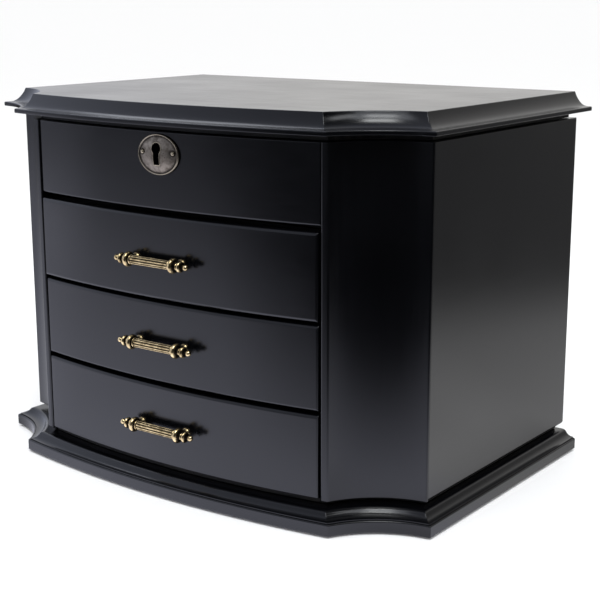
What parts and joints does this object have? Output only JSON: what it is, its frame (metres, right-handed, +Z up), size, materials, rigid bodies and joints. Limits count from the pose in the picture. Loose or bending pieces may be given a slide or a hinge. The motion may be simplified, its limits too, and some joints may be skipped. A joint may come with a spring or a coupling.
{
  "type": "jewelry chest",
  "caption": "Bow-front jewelry chest: moulded lift-up lid with mirror over a lined compartment, drawers with turned pulls below, scooped corner posts on a moulded base.",
  "frame": {"origin": "centre of the overall box on the surface that the foot pads stand on", "axes": "+Z up, -Y is the bowed front with the drawers, +X to the right seen from the front"},
  "size_m": [0.3398, 0.2363, 0.2368],
  "materials": {
    "black_lacquer": "satin black lacquer over wood",
    "stained_board": "black-stained board, matte",
    "drawer_wood": "black-stained drawer box, satin",
    "suede": "brushed sueded lining",
    "aged_brass": "antiqued, dark in the recesses",
    "plated_brass": "brushed plating",
    "aged_pewter": "aged grey-brown plate",
    "lock_steel": "zinc-plated",
    "mirror": "silvered glass",
    "pad_felt": "dense felt"
  },
  "bodies": {
    "cabinet": {"base_moulding": "black_lacquer", "foot_pad_front_left": "pad_felt", "foot_pad_front_right": "pad_felt", "foot_pad_back_left": "pad_felt", "foot_pad_back_right": "pad_felt", "spacer_board": "stained_board", "side_panel_left": "black_lacquer", "side_panel_right": "black_lacquer", "corner_post_left": "black_lacquer", "corner_post_right": "black_lacquer", "inner_wall_left": "stained_board", "inner_wall_right": "stained_board", "back_panel": "black_lacquer", "bottom_board": "stained_board", "compartment_floor": "stained_board", "dust_panel_lower": "stained_board", "dust_panel_upper": "stained_board", "top_front_panel": "black_lacquer", "escutcheon": "aged_pewter", "escutcheon_pin_left": "aged_pewter", "escutcheon_pin_right": "aged_pewter", "lock_case": "lock_steel", "compartment_lining": "suede", "divider_left": "suede", "divider_right": "suede", "divider_front": "suede", "divider_cross": "suede", "ring_cushion": "suede", "hinge_leaf_body_left": "plated_brass", "hinge_leaf_body_right": "plated_brass", "hinge_pin_left": "plated_brass", "hinge_pin_right": "plated_brass"},
    "lock_bolt": {"lock_bolt": "lock_steel"},
    "lid": {"lid_slab": "black_lacquer", "lid_frame": "stained_board", "lid_mirror": "mirror", "strike_hook": "plated_brass", "hinge_leaf_lid_left": "plated_brass", "hinge_leaf_lid_right": "plated_brass"},
    "drawer_upper": {"drawer_upper_front": "black_lacquer", "drawer_upper_side_left": "drawer_wood", "drawer_upper_side_right": "drawer_wood", "drawer_upper_back": "drawer_wood", "drawer_upper_bottom": "drawer_wood", "drawer_upper_lining": "suede", "drawer_upper_pull": "aged_brass"},
    "drawer_middle": {"drawer_middle_front": "black_lacquer", "drawer_middle_side_left": "drawer_wood", "drawer_middle_side_right": "drawer_wood", "drawer_middle_back": "drawer_wood", "drawer_middle_bottom": "drawer_wood", "drawer_middle_lining": "suede", "drawer_middle_pull": "aged_brass"},
    "drawer_lower": {"drawer_lower_front": "black_lacquer", "drawer_lower_side_left": "drawer_wood", "drawer_lower_side_right": "drawer_wood", "drawer_lower_back": "drawer_wood", "drawer_lower_bottom": "drawer_wood", "drawer_lower_lining": "suede", "drawer_lower_pull": "aged_brass"}
  },
  "joints": [
    {"name": "lid_hinge", "type": "hinge", "parent": "cabinet", "child": "lid", "pos_m": [0, 0.1162, 0.2228], "axis": [-1, 0, 0], "range_deg": [0, 98]},
    {"name": "bolt_throw", "type": "slide", "parent": "cabinet", "child": "lock_bolt", "axis": [1, 0, 0], "range_m": [0, 0.005]},
    {"name": "drawer_upper_slide", "type": "slide", "parent": "cabinet", "child": "drawer_upper", "axis": [0, -1, 0], "range_m": [-0.0008, 0.13]},
    {"name": "drawer_middle_slide", "type": "slide", "parent": "cabinet", "child": "drawer_middle", "axis": [0, -1, 0], "range_m": [0, 0.13]},
    {"name": "drawer_lower_slide", "type": "slide", "parent": "cabinet", "child": "drawer_lower", "axis": [0, -1, 0], "range_m": [0, 0.13]}
  ]
}
